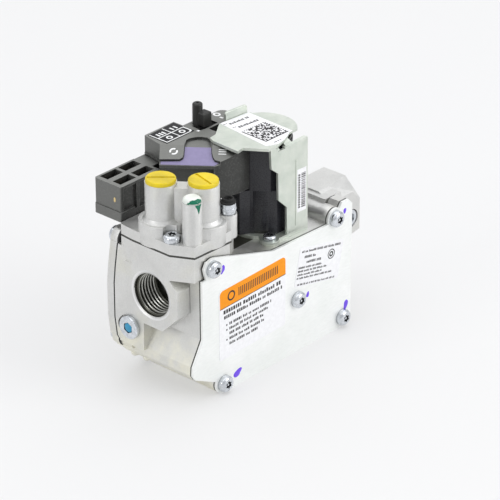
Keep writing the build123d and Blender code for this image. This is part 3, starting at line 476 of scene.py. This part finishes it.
def ring_faces(place, centre, outer, inner, gaps=(), squeeze=1.0):
    """Flat printed ring; gaps are (from, to) angles in degrees left unprinted."""
    faces = []
    for k in range(RING_STEPS):
        a, b = 2 * pi * k / RING_STEPS, 2 * pi * (k + 1) / RING_STEPS
        middle = (a + b) * 90 / pi
        if any(low < middle < high for low, high in gaps):
            continue
        corners = [(outer, a), (outer, b), (inner, b), (inner, a)]
        outline = [(centre[0] + r * cos(t) * squeeze, centre[1] + r * sin(t)) for r, t in corners]
        faces += slab_faces(outline, place, PRINT_T)
    return faces


# ---- scene: floor, light, camera -------------------------------------------------------------
FLOOR_Z = cad_box[0][2]
CAMERA_RIGHT = Vector((0.66575, -0.74617, 0.0))
CAMERA_AHEAD = Vector((0.74617, 0.66575, 0.0))      # level, away from the camera
# the floor is a paper sweep: level, then curving up behind the object
SWEEP_FRONT, SWEEP_BACK, SWEEP_R, SWEEP_H, SWEEP_HALF_WIDTH = -3.0, 4.0, 1.0, 3.0, 5.0
SWEEP_STEPS = 12
floor_mesh = bpy.data.meshes.new("floor")
profile = [(SWEEP_FRONT, 0.0), (SWEEP_BACK, 0.0)]
for k in range(1, SWEEP_STEPS + 1):
    a = pi / 2 * k / SWEEP_STEPS
    profile.append((SWEEP_BACK + SWEEP_R * sin(a), SWEEP_R * (1 - cos(a))))
profile.append((SWEEP_BACK + SWEEP_R, SWEEP_H))
bm = bmesh.new()
rows = [
    [
        bm.verts.new(CAMERA_AHEAD * d + CAMERA_RIGHT * s + Vector((0, 0, FLOOR_Z + h)))
        for d, h in profile
    ]
    for s in (-SWEEP_HALF_WIDTH, SWEEP_HALF_WIDTH)
]
for i in range(len(profile) - 1):
    bm.faces.new([rows[0][i], rows[1][i], rows[1][i + 1], rows[0][i + 1]])
bmesh.ops.recalc_face_normals(bm, faces=bm.faces)
bm.to_mesh(floor_mesh)
bm.free()
floor_mesh.polygons.foreach_set("use_smooth", [True] * len(floor_mesh.polygons))
floor = bpy.data.objects.new("floor", floor_mesh)
bpy.context.scene.collection.objects.link(floor)
# part of the paper's brightness is its own light, as on a light table, so shadows stay soft
paper = Finish("paper", 0.9, Emission_Color=(1.0, 1.0, 1.0, 1.0), Emission_Strength=0.37)
cloud = paper.remap(paper.noise(400.0), 0.3, 0.7)
paper.colour(paper.mix(cloud, (0.43, 0.43, 0.435), (0.44, 0.44, 0.44)))
floor_mesh.materials.append(paper.material)

SKY_LOW, SKY_HIGH = 0.56, 0.88      # world strength near the horizon and overhead
world = bpy.data.worlds.new("studio")
bpy.context.scene.world = world
world.use_nodes = True
background = world.node_tree.nodes["Background"]
background.inputs["Color"].default_value = (0.97, 0.98, 1.0, 1.0)
sky = world.node_tree.nodes.new("ShaderNodeTexCoord")
split = world.node_tree.nodes.new("ShaderNodeSeparateXYZ")
shade = world.node_tree.nodes.new("ShaderNodeMapRange")
shade.inputs["From Min"].default_value = -0.1
shade.inputs["From Max"].default_value = 0.9
shade.inputs["To Min"].default_value = SKY_LOW
shade.inputs["To Max"].default_value = SKY_HIGH
world.node_tree.links.new(sky.outputs["Generated"], split.inputs[0])
world.node_tree.links.new(split.outputs["Z"], shade.inputs["Value"])
world.node_tree.links.new(shade.outputs["Result"], background.inputs["Strength"])


LIGHT_AIM = Vector((0.06, 0.0, 0.0))


def softbox(name, place, size, watts):
    light = bpy.data.lights.new(name, "AREA")
    light.shape = "RECTANGLE"
    light.size, light.size_y = size
    light.energy = watts
    obj = bpy.data.objects.new(name, light)
    bpy.context.scene.collection.objects.link(obj)
    obj.location = place
    obj.rotation_euler = (LIGHT_AIM - Vector(place)).to_track_quat("-Z", "Y").to_euler()


softbox("top_box", (0.15, 0.2, 1.1), (1.9, 1.9), 8.2)
softbox("front_box", (0.6, -1.2, 0.6), (0.8, 0.7), 7.0)
softbox("left_box", (-1.3, 0.3, 0.6), (0.5, 0.6), 3.0)

# camera solved from the straight edges of the body
LENS_MM, SENSOR_MM, CLIP_END = 206.2, 36.0, 50.0
CAMERA_PLACE = Vector((-0.80407, -0.77620, 0.60584))
CAMERA_UP = Vector((0.34535, 0.30813, 0.88645))
CAMERA_BACK = CAMERA_RIGHT.cross(CAMERA_UP)
camera_data = bpy.data.cameras.new("camera")
camera_data.lens = LENS_MM
camera_data.sensor_width = SENSOR_MM
camera_data.clip_end = CLIP_END
camera = bpy.data.objects.new("camera", camera_data)
bpy.context.scene.collection.objects.link(camera)
axes = Matrix((CAMERA_RIGHT, CAMERA_UP, CAMERA_BACK)).transposed().to_4x4()
camera.matrix_world = Matrix.Translation(CAMERA_PLACE) @ axes
bpy.context.scene.camera = camera
bpy.context.scene.view_settings.view_transform = "Standard"

# ---- threads in both ports -------------------------------------------------------------------
THREAD_PITCH = 1.814
THREAD_START, THREAD_END = 0.9, 14.4    # depths below the port's face
THREAD_STEPS = 64                       # sections in one turn
ROOT_HALF, CREST_HALF = 0.46, 0.10      # half widths of the ridge, in pitches
THREAD_METAL = thread_metal()


def port_thread(name, face_x, sign):
    """Helical ridge with a V section, tapering out at both ends."""
    turns = (THREAD_END - THREAD_START) / THREAD_PITCH
    count = ceil(turns * THREAD_STEPS)
    rings = []
    for i in range(count + 1):
        t = i / count
        depth = THREAD_START + (THREAD_END - THREAD_START) * t
        angle = 2 * pi * turns * t
        fade = min(1.0, 6 * t, 6 * (1 - t)) ** 0.5
        crest = THREAD_ROOT_R - (THREAD_ROOT_R - THREAD_CREST_R) * max(fade, 0.02)
        section = [
            (-ROOT_HALF, THREAD_ROOT_R), (-CREST_HALF, crest), (CREST_HALF, crest),
            (ROOT_HALF, THREAD_ROOT_R),
        ]
        rings.append([
            (face_x + sign * (depth + du * THREAD_PITCH), r * cos(angle), sign * r * sin(angle))
            for du, r in section
        ])
    faces = []
    for a, b in zip(rings, rings[1:]):
        for k in range(4):
            faces.append([a[k], a[(k + 1) % 4], b[(k + 1) % 4], b[k]])
    faces += [rings[0], rings[-1][::-1]]
    return piece(name, mesh_of(name, faces), THREAD_METAL)


PORT_SPAN_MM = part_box("valve_body")[1].x / MM
port_thread("inlet_thread", 0.0, 1)
port_thread("outlet_thread", PORT_SPAN_MM, -1)

# ---- instruction label -----------------------------------------------------------------------
BAND_CORNER = (19.5, -6.9)              # the band's lower left corner
BAND_TILT, NOTE_TILT = 1.2, 0.3         # degrees
BAND_W, BAND_H, BAND_CORNER_R = 44.3, 9.0, 2.2
BAND_PLACE = on_front(LABEL_Y, BAND_TILT, BAND_CORNER)
band = rounded_rect(0.0, 0.0, BAND_W, BAND_H, (0, 0, BAND_CORNER_R, BAND_CORNER_R))
band_slab = slab_faces(band, BAND_PLACE, PRINT_T)
piece("instruction_band", mesh_of("instruction_band", band_slab), BAND_ORANGE)
BAND_MARK = (7.6, 4.4)                  # ring at the left of the band, then a row of upright bars
BARS, FIRST_BAR_U, BAR_STEP, BAR_W, BAR_V0, BAR_V1 = 22, 12.4, 1.24, 0.55, 2.3, 6.4
band_over = on_front(LABEL_Y - PRINT_T, BAND_TILT, BAND_CORNER)
band_faces = ring_faces(band_over, BAND_MARK, 2.5, 1.7)
for k in range(BARS):
    u = FIRST_BAR_U + BAR_STEP * k
    band_faces += printed_rect(band_over, u, BAR_V0, u + BAR_W, BAR_V1)
NOTE_PLACE = on_front(LABEL_Y, NOTE_TILT, BAND_CORNER)
NOTES = [
    (2.3, 40.0, -2.3, 1.9, (6, 9)), (2.6, 41.5, -5.1, 1.6, (2, 8)),
    (6.1, 34.6, -9.2, 1.35, (2, 6)), (6.1, 33.0, -11.7, 1.35, (2, 6)),
    (6.1, 28.0, -14.2, 1.35, (2, 6)), (6.1, 29.4, -16.8, 1.35, (2, 6)),
    (6.1, 24.8, -19.4, 1.35, (2, 6)),
]
BULLETS_V = (-9.3, -11.8, -16.9)
note_faces = print_words(NOTE_PLACE, NOTES)
note_faces += printed_rect(BAND_PLACE, 0.0, -0.35, BAND_W, 0.0)
for v in BULLETS_V:
    note_faces += printed_rect(NOTE_PLACE, 4.0, v - 0.4, 4.8, v + 0.4)
piece("instruction_print", mesh_of("instruction_print", band_faces + note_faces), INK)

# ---- rating label ----------------------------------------------------------------------------
RATING_CORNER, RATING_TILT = (74.0, 2.9), -12.5     # upper left corner; degrees
RATING_PLACE = on_front(LABEL_Y, RATING_TILT, RATING_CORNER)
RATING_LINES = [
    (1.8, 30.0, -2.0, 1.1, (2, 7)), (4.2, 12.0, -4.8, 1.2, (5, 6)),
    (6.2, 16.4, -7.4, 1.2, (6, 8)), (1.0, 17.4, -9.9, 0.95, (3, 6)),
    (1.0, 22.0, -11.6, 0.95, (2, 6)), (0.9, 18.0, -13.3, 0.95, (2, 6)),
    (0.8, 26.0, -15.0, 0.9, (2, 5)), (2.0, 28.4, -18.2, 0.9, (2, 4)),
]
RATING_MARK = (23.8, -6.2)
rating_faces = print_words(RATING_PLACE, RATING_LINES)
for outer, inner in ((2.5, 2.0), (1.4, 0.6)):
    rating_faces += ring_faces(RATING_PLACE, RATING_MARK, outer, inner)
piece("rating_print", mesh_of("rating_print", rating_faces), INK)

# ---- label on the solenoid's flange: rows of marks and a square field of random cells --------
CODE_TOP_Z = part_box("matrix_code_label")[1].z / MM
CELLS, CELL = 22, 0.69          # cells a side and the width of one
FIELD_CORNER, FIELD_TILT = (63.8, -11.5), -1.1
field = on_top(CODE_TOP_Z, FIELD_CORNER, FIELD_TILT)
code_faces = []
for row in range(CELLS):
    dark = [
        column == 0 or row == 0
        or (row == CELLS - 1 and column % 2 == 0) or (column == CELLS - 1 and row % 2 == 0)
        or (0 < column < CELLS - 1 and row < CELLS - 1 and rng.random() < 0.5)
        for column in range(CELLS)
    ]
    start = None
    for column, filled in enumerate([*dark, False]):
        if filled and start is None:
            start = column
        elif not filled and start is not None:
            run = (start * CELL, row * CELL, column * CELL, (row + 1) * CELL)
            code_faces += printed_rect(field, *run)
            start = None
rows_of_marks = on_top(CODE_TOP_Z, (64.3, 14.6), -6.0)
code_faces += print_words(rows_of_marks, [
    (0.2, 1.8, 0.2, 0.7, (2, 3)), (2.6, 14.0, -1.2, 1.5, (5, 9)),
    (1.0, 2.6, -5.2, 0.7, (2, 3)), (3.4, 15.4, -6.4, 1.5, (8, 12)),
])
below_field = on_top(CODE_TOP_Z, (65.4, -14.6))
code_faces += print_words(below_field, [(0.4, 5.0, 0.0, 0.7, (2, 4))])
piece("matrix_code_print", mesh_of("matrix_code_print", code_faces), INK)

# ---- strip label on the solenoid's front leg, which is turned a little -----------------------
LEG_TURN = radians(-4.4)
LEG_PIVOT = (74.3, 0.5)
LEG_LABEL_Y = -18.3


def on_leg(u, v, lift):
    """Places (u, v) on the strip label, turned with the yoke about the coil."""
    x, y = u - LEG_PIVOT[0], LEG_LABEL_Y - lift - LEG_PIVOT[1]
    return (
        LEG_PIVOT[0] + x * cos(LEG_TURN) - y * sin(LEG_TURN),
        LEG_PIVOT[1] + x * sin(LEG_TURN) + y * cos(LEG_TURN), v,
    )


STRIP_Z0, STRIP_Z1 = 20.2, 37.8
STRIP_BARS = (0.3, 0.45, 0.6)           # thicknesses of a bar or a gap
bar_faces = []
z = STRIP_Z0
while z < STRIP_Z1:
    thick = rng.choice(STRIP_BARS)
    bar_faces += printed_rect(on_leg, 81.3, z, 83.9, z + thick)
    z += thick + rng.choice(STRIP_BARS)
for k in range(14):
    bar_faces += printed_rect(on_leg, 79.3, 20.3 + 1.24 * k, 80.5, 21.1 + 1.24 * k)
piece("bar_code_print", mesh_of("bar_code_print", bar_faces), INK)

# ---- white marks on the black cover ----------------------------------------------------------
MODE_TOP_Z, DECK_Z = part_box("mode_label")[1].z / MM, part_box("mode_label")[0].z / MM
mode = on_top(MODE_TOP_Z)
LINE = 0.55                             # width of the frame's lines
MODE_X, MODE_Y = (36.1, 44.8), (23.1, 28.7)     # where the frame's lines start
white_faces = printed_rect(mode, MODE_X[0], MODE_Y[0], MODE_X[0] + LINE, 34.4)
white_faces += printed_rect(mode, MODE_X[0] + LINE, MODE_Y[0], 51.6, MODE_Y[0] + LINE)
white_faces += printed_rect(mode, MODE_X[1], MODE_Y[0] + LINE, MODE_X[1] + LINE, 34.8)
white_faces += printed_rect(mode, MODE_X[0] + LINE, MODE_Y[1], MODE_X[1], MODE_Y[1] + LINE)
white_faces += printed_rect(mode, MODE_X[1] + LINE, MODE_Y[1], 53.2, MODE_Y[1] + LINE)
white_faces += printed_rect(mode, 52.5, 24.9, 53.2, MODE_Y[1])
frame_corner = [(51.6, 23.1), (53.0, 23.6), (53.4, 24.9), (52.5, 24.9), (51.6, 24.0)]
white_faces += slab_faces(frame_corner, mode, PRINT_T)
for u, v in ((38.9, 31.2), (40.7, 31.2), (42.5, 31.2), (48.0, 31.4), (50.4, 31.4)):
    white_faces += printed_rect(mode, u - 0.45, v - 1.3, u + 0.45, v + 1.5)
for spot in ((40.8, 26.1), (49.2, 26.2)):
    white_faces += ring_faces(mode, spot, 1.6, 0.85)
deck = on_top(DECK_Z)
pointer = [(54.2, 20.6), (55.6, 20.9), (55.2, 21.9), (53.9, 21.9)]
white_faces += slab_faces(pointer, deck, PRINT_T)
OFF_MARK = (73.3, 27.0)
white_faces += ring_faces(deck, OFF_MARK, 2.0, 0.95, squeeze=0.86)
white_faces += printed_rect(deck, 71.6, 22.1, 72.7, 23.9)
# the cover's sloping face, on which two marks and the purple label lie
SLOPE_ALONG = Vector((0.6187, -0.7857, 0.0))
SLOPE_NORMAL = Vector((-0.3000, -0.2363, 0.9242)).normalized()
SLOPE_UP = SLOPE_NORMAL.cross(SLOPE_ALONG)
SLOPE_ORIGIN = Vector((22.43, 16.27, 49.3))


def on_slope(u, v, lift):
    return tuple(SLOPE_ORIGIN + SLOPE_ALONG * u + SLOPE_UP * v + SLOPE_NORMAL * lift)


white_faces += ring_faces(on_slope, (6.4, 10.4), 1.95, 1.15, gaps=((20, 60), (200, 240)))
for v in (12.1, 10.9, 9.5):
    white_faces += printed_rect(on_slope, 26.5, v - 0.24, 30.0, v + 0.24)
piece("cover_print", mesh_of("cover_print", white_faces), PRINT_WHITE)

# black sheet of painted shade on the floor of the lever's slot, kept clear of the lever
SLOT_DEPTH = 1.2
SLOT_FLOOR = on_top(DECK_Z - SLOT_DEPTH)
SLOT_AREAS = [
    [(56.6, 21.2), (58.3, 20.6), (67.0, 20.8), (67.0, 24.3), (57.0, 24.3)],
    rect(63.1, 24.3, 67.0, 26.8), rect(56.8, 24.3, 57.7, 26.8),
]
slot_faces = [face for area in SLOT_AREAS for face in slab_faces(area, SLOT_FLOOR, 0.05)]
piece("lever_slot_painted_shade", mesh_of("lever_slot_painted_shade", slot_faces), PAINTED_SHADE_BLACK)


# ---- cast lobes under the left end of the body -----------------------------------------------
def cast_lobe(name, centre, radii):
    """Rounded lump left by the casting die, buried to about half its height."""
    rings, steps = 8, 20
    levels = [[
        (
            centre[0] + radii[0] * sin(pi * k / rings) * cos(2 * pi * j / steps),
            centre[1] + radii[1] * sin(pi * k / rings) * sin(2 * pi * j / steps),
            centre[2] + radii[2] * cos(pi * k / rings),
        ) for j in range(steps)
    ] for k in range(1, rings)]
    faces = [levels[0], levels[-1][::-1]]
    for low, high in zip(levels, levels[1:]):
        faces += [[low[j - 1], low[j], high[j], high[j - 1]] for j in range(steps)]
    return piece(
        name, mesh_of(name, faces), FINISHES["cast_aluminium"], smooth=True
    )


cast_lobe("cast_lobe_back", (6.4, 15.6, -36.6), (3.4, 2.0, 2.2))
cast_lobe("cast_lobe_front", (6.4, 8.2, -36.6), (3.4, 2.0, 2.0))

# ---- marking paint ---------------------------------------------------------------------------
def paint_dab(name, x, z, length, width, lean_deg):
    """Low domed blob of marking paint on the front plate."""
    place = on_front(PLATE_OUTER_Y, lean_deg, (x, z))
    steps = 18
    outline = []
    for k in range(steps):
        a = 2 * pi * k / steps
        wobble = 1 + 0.16 * sin(2 * a + x) + 0.10 * sin(3 * a + z)
        outline.append((length / 2 * cos(a) * wobble, width / 2 * sin(a) * wobble))
    levels = [(1.0, 0.0), (0.92, 0.09), (0.6, 0.17)]
    rings = [[place(u * s, v * s, h) for u, v in outline] for s, h in levels]
    faces = [rings[0][::-1]]
    for low, high in zip(rings, rings[1:]):
        faces += [[low[k - 1], low[k], high[k], high[k - 1]] for k in range(steps)]
    faces.append(rings[-1])
    return piece(name, mesh_of(name, faces), PAINT_VIOLET, smooth=True)


DABS = {                # place, length, width and lean of each
    "upper_left": (21.6, 12.8, 4.0, 2.6, 80), "upper_right": (105.4, 10.3, 3.2, 1.7, 75),
    "middle": (79.6, -23.2, 3.4, 1.7, 80), "lower_right": (107.2, -39.6, 4.6, 3.2, 60),
    "lower_left": (31.2, -43.9, 5.8, 3.4, 12),
}
for name, dab in DABS.items():
    paint_dab("paint_dab_" + name, *dab)

SKIN_T = 0.06           # thickness of a skin of paint


def wrap_patch(name, centre, radius, spans):
    """Skin of green paint round an upright cylinder: (angle in degrees, low z, high z) along it."""
    faces = []
    for (a, a0, a1), (b, b0, b1) in zip(spans, spans[1:]):
        def at(angle, z, lift):
            t = radians(angle)
            return (centre[0] + (radius + lift) * cos(t), centre[1] + (radius + lift) * sin(t), z)
        inner = [at(a, a0, 0.0), at(b, b0, 0.0), at(b, b1, 0.0), at(a, a1, 0.0)]
        outer = [at(a, a0, SKIN_T), at(b, b0, SKIN_T), at(b, b1, SKIN_T), at(a, a1, SKIN_T)]
        faces += [outer, inner[::-1], [inner[0], inner[1], outer[1], outer[0]]]
        faces += [[inner[3], outer[3], outer[2], inner[2]]]
    return piece(name, mesh_of(name, faces), PAINT_GREEN)


TEST_TUBE, TEST_TUBE_R, CAP_R = (9.0, -17.0), 4.5, 4.2
wrap_patch("cap_paint", TEST_TUBE, CAP_R, [
    (-172, 49.35, 49.45), (-158, 49.15, 49.5), (-100, 49.1, 49.5), (-72, 49.2, 49.45),
])
wrap_patch("tube_paint", TEST_TUBE, TEST_TUBE_R, [
    (-118, 48.3, 48.95), (-109, 47.2, 48.98), (-102, 45.6, 48.98), (-96, 44.3, 48.98),
    (-90, 45.8, 48.98), (-83, 47.7, 48.98), (-76, 48.4, 48.95),
])
# paint smeared over the dome of the cap, whose edge is rounded from DOME_Z up:
# (angle in degrees, low tilt, high tilt), tilts in radians above the horizontal
DOME_R, DOME_Z = 2.0, 49.4
SMEAR_LIFT, SMEAR_STEPS = 0.05, 4
SMEAR = [
    (-165, 0.05, 0.35), (-150, 0.02, 0.8), (-135, 0.0, 1.0), (-120, 0.0, 0.95), (-105, 0.0, 1.0),
    (-90, 0.0, 1.1), (-75, 0.0, 0.85), (-62, 0.1, 0.5),
]


def on_dome(angle, tilt):
    t, r = radians(angle), DOME_R + SMEAR_LIFT
    out = CAP_R - DOME_R + r * cos(tilt)
    return (TEST_TUBE[0] + out * cos(t), TEST_TUBE[1] + out * sin(t), DOME_Z + r * sin(tilt))


dome_faces = []
for (a, a0, a1), (b, b0, b1) in zip(SMEAR, SMEAR[1:]):
    for k in range(SMEAR_STEPS):
        f0, f1 = k / SMEAR_STEPS, (k + 1) / SMEAR_STEPS
        dome_faces.append([
            on_dome(a, a0 + (a1 - a0) * f0), on_dome(b, b0 + (b1 - b0) * f0),
            on_dome(b, b0 + (b1 - b0) * f1), on_dome(a, a0 + (a1 - a0) * f1),
        ])
piece("cap_dome_paint", mesh_of("cap_dome_paint", dome_faces), PAINT_GREEN, smooth=True)

# ---- blue paint in the inlet tap's socket, and a gold mark on the connector ------------------
TAP_FACE_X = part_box("inlet_tap_plug")[0].x / MM
TAP_SPOT = (13.0, -20.5)
TAP_R, TAP_SIDES = 2.62, 12
TAP_LEVELS = ((1.0, -0.5), (0.8, -0.15), (0.45, 0.1))   # (share of the radius, lift)


def in_tap(k, level):
    share, lift = level
    a = 2 * pi * k / TAP_SIDES
    u, v = TAP_R * cos(a) * share, TAP_R * sin(a) * share
    return (TAP_FACE_X - lift, TAP_SPOT[0] - u, TAP_SPOT[1] + v)


tap_faces = []
for low, high in zip(TAP_LEVELS, TAP_LEVELS[1:]):
    for k in range(TAP_SIDES):
        before = (k - 1) % TAP_SIDES
        tap_faces.append(
            [in_tap(before, low), in_tap(k, low), in_tap(k, high), in_tap(before, high)]
        )
tap_faces.append([in_tap(k, TAP_LEVELS[-1]) for k in range(TAP_SIDES)])
tap_faces.append([in_tap(k, TAP_LEVELS[0]) for k in range(TAP_SIDES)][::-1])
tap_paint = mesh_of("tap_paint", tap_faces)
piece("tap_paint", tap_paint, PAINT_BLUE, body="inlet_tap_plug", smooth=True)


def on_left(x):
    """Places (y, z) on a plane facing left."""
    def place(u, v, lift):
        return (x - lift, u, v)
    return place


CONNECTOR_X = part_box("connector_housing")[0].x / MM + 0.4
gold = [(24.5, 37.6), (23.9, 37.2), (23.4, 37.8), (23.4, 39.0), (23.9, 39.8), (24.5, 39.2)]
gold_faces = slab_faces(gold, on_left(CONNECTOR_X), 0.08)
piece("connector_mark", mesh_of("connector_mark", gold_faces), FINISHES["brass"])
